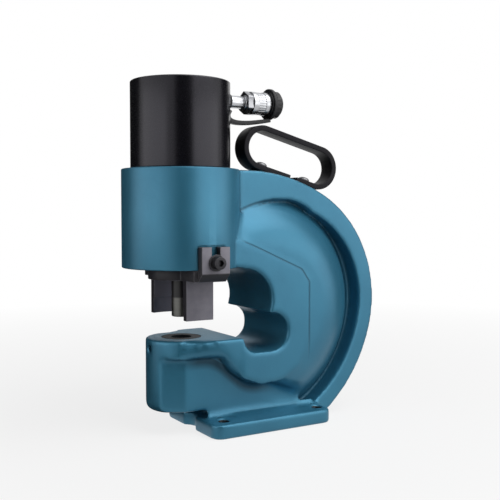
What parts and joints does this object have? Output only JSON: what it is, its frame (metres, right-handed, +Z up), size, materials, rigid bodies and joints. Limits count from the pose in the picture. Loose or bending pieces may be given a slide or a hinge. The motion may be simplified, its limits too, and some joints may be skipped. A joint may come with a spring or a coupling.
{
  "type": "hydraulic hole punch",
  "caption": "C-frame hydraulic hole punch: a cylinder drives a punch through plate into a die on the anvil; stripper yoke, hose coupler and carrying handle.",
  "frame": {"origin": "floor level, at the centre of the foot bolt pattern", "axes": "+Z up along the punch axis, +X to the closed back of the C frame, +Y to its left side"},
  "size_m": [0.3004, 0.1586, 0.3714],
  "materials": {
    "frame_paint": "semi-gloss blue machine enamel over a steel casting",
    "cylinder_black": "black oxide, satin gloss",
    "bronze": "turned bronze",
    "seal_rubber": "moulded rubber",
    "wear_plastic": "filled plastic band",
    "spring_steel": "oiled spring steel",
    "ground_steel": "ground and polished steel",
    "tool_steel": "hardened tool steel",
    "black_oxide": "black oxide",
    "stripper_steel": "dark phosphated steel",
    "zinc_plate": "bright zinc plate",
    "cap_plastic": "moulded black plastic",
    "tether_rubber": "moulded rubber",
    "handle_black": "black powder coat"
  },
  "bodies": {
    "frame": {"c_frame": "frame_paint", "hydraulic_cylinder": "cylinder_black", "guide_bush": "bronze", "rod_wiper": "seal_rubber", "return_spring": "spring_steel", "stripper_bolts": "black_oxide", "stripper_washers": "black_oxide", "die": "tool_steel", "die_set_screw": "black_oxide", "coupler_nipple": "zinc_plate", "nipple_washer": "zinc_plate", "coupler_body": "zinc_plate", "poppet_spring": "spring_steel", "cap_tether": "tether_rubber", "carry_handle": "handle_black", "handle_washers": "black_oxide", "handle_screws": "zinc_plate"},
    "ram": {"piston": "ground_steel", "piston_seal": "seal_rubber", "piston_wear_ring": "wear_plastic", "piston_screw": "black_oxide", "ram_rod": "ground_steel", "punch": "tool_steel", "punch_nut": "black_oxide"},
    "stripper": {"stripper_yoke": "stripper_steel"},
    "collar": {"coupler_collar": "zinc_plate"},
    "poppet": {"coupler_poppet": "zinc_plate"},
    "cap": {"dust_cap": "cap_plastic"}
  },
  "joints": [
    {"name": "ram_slide", "type": "slide", "parent": "frame", "child": "ram", "axis": [0, 0, -1], "range_m": [0, 0.024], "stiffness_N_per_m": 8000, "springref_m": -0.02, "deforming": ["return_spring"]},
    {"name": "stripper_slide", "type": "slide", "parent": "frame", "child": "stripper", "axis": [0, 0, -1], "range_m": [0, 0.012]},
    {"name": "collar_turn", "type": "hinge", "parent": "frame", "child": "collar", "pos_m": [0.00775, 0, 0.354], "axis": [1, 0, 0], "continuous": true},
    {"name": "poppet_push", "type": "slide", "parent": "frame", "child": "poppet", "axis": [-1, 0, 0], "range_m": [0, 0.003], "stiffness_N_per_m": 800, "springref_m": -0.002, "deforming": ["poppet_spring"]},
    {"name": "cap_turn", "type": "hinge", "parent": "frame", "child": "cap", "pos_m": [0.02575, 0, 0.354], "axis": [1, 0, 0], "continuous": true}
  ]
}
